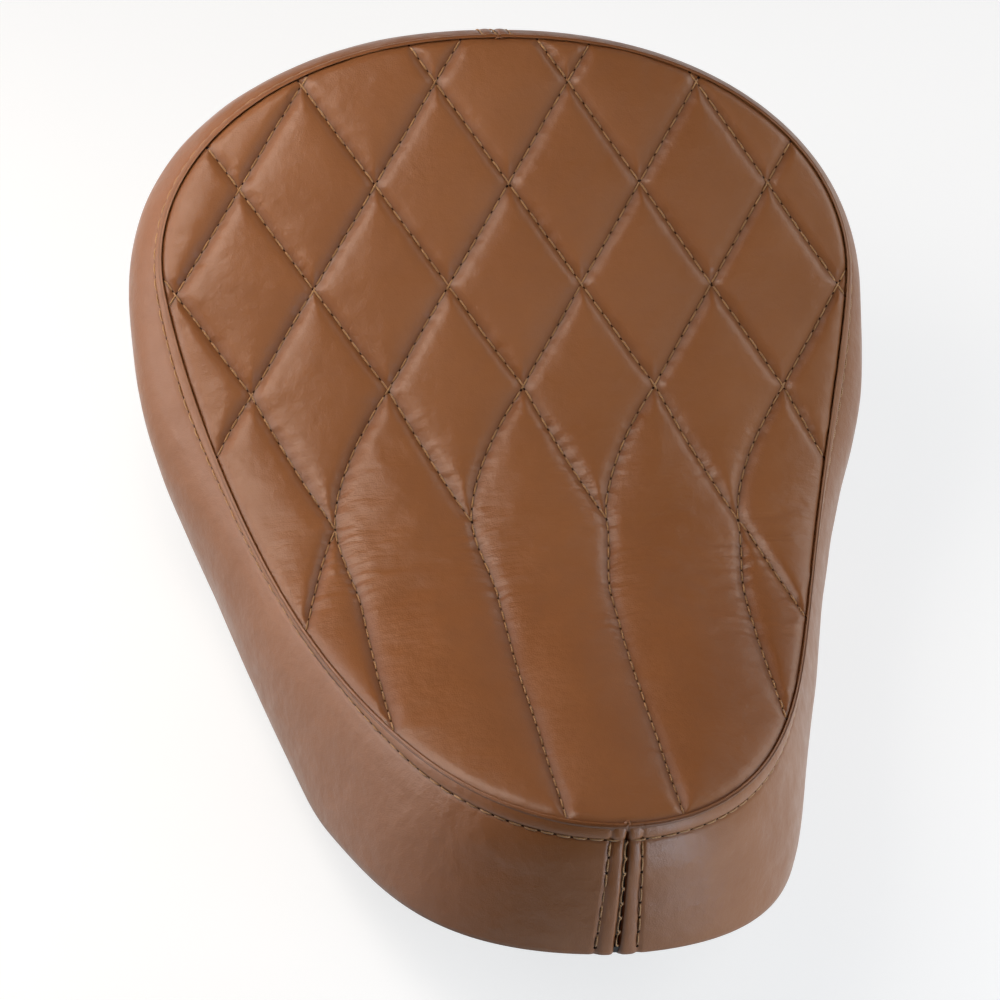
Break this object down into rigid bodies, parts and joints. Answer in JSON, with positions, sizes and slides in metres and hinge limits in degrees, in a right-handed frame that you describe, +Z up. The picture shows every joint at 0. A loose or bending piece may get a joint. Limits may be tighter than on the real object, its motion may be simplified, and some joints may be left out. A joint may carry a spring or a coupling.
{
  "type": "motorcycle seat",
  "caption": "Dished solo motorcycle seat with diamond-quilted leather over foam on a steel pan, with a nose pivot bracket and a bolted rear foot.",
  "frame": {"origin": "midway between the two rear mounting holes, on the underside of the rear bracket's foot, which is also the plane the seat stands on", "axes": "+Z up, -Y towards the nose, +X to the right seen from behind the nose looking along +Y"},
  "size_m": [0.2654, 0.3517, 0.148],
  "materials": {
    "leather": "semi-gloss smooth saddle-tan leather with fine grain",
    "foam_soft": "open-cell polyurethane foam",
    "foam_firm": "dense moulded polyurethane foam",
    "thread": "bonded golden-tan sewing thread",
    "tape": "woven black seam tape",
    "black_steel": "textured black powder coat",
    "zinc_steel": "bright zinc plate",
    "rubber": "matt black moulded rubber",
    "nylon": "natural nylon"
  },
  "bodies": {
    "root": {"top_panel": "leather", "quilt_foam": "foam_soft", "comfort_foam": "foam_soft", "core_foam": "foam_firm", "band_left": "leather", "band_right": "leather", "nose_seam_tape": "tape", "rear_seam_tape": "tape", "quilt_thread": "thread", "edge_thread": "thread", "nose_seam_thread": "thread", "rear_seam_thread": "thread", "seat_pan": "black_steel", "edge_trim": "rubber", "hem_washers": "zinc_steel", "hem_rivets": "zinc_steel", "nose_bracket": "black_steel", "pivot_tube": "black_steel", "pivot_bushes": "nylon", "nose_bolts": "zinc_steel", "nose_washers": "zinc_steel", "nose_weld_nuts": "zinc_steel", "rear_bracket": "black_steel", "rear_bolts": "zinc_steel", "rear_washers": "zinc_steel", "rear_weld_nuts": "zinc_steel", "bumpers": "rubber", "bumper_washers": "zinc_steel", "bumper_screws": "zinc_steel", "bumper_nuts": "zinc_steel", "vent_grommets": "rubber"}
  },
  "joints": []
}
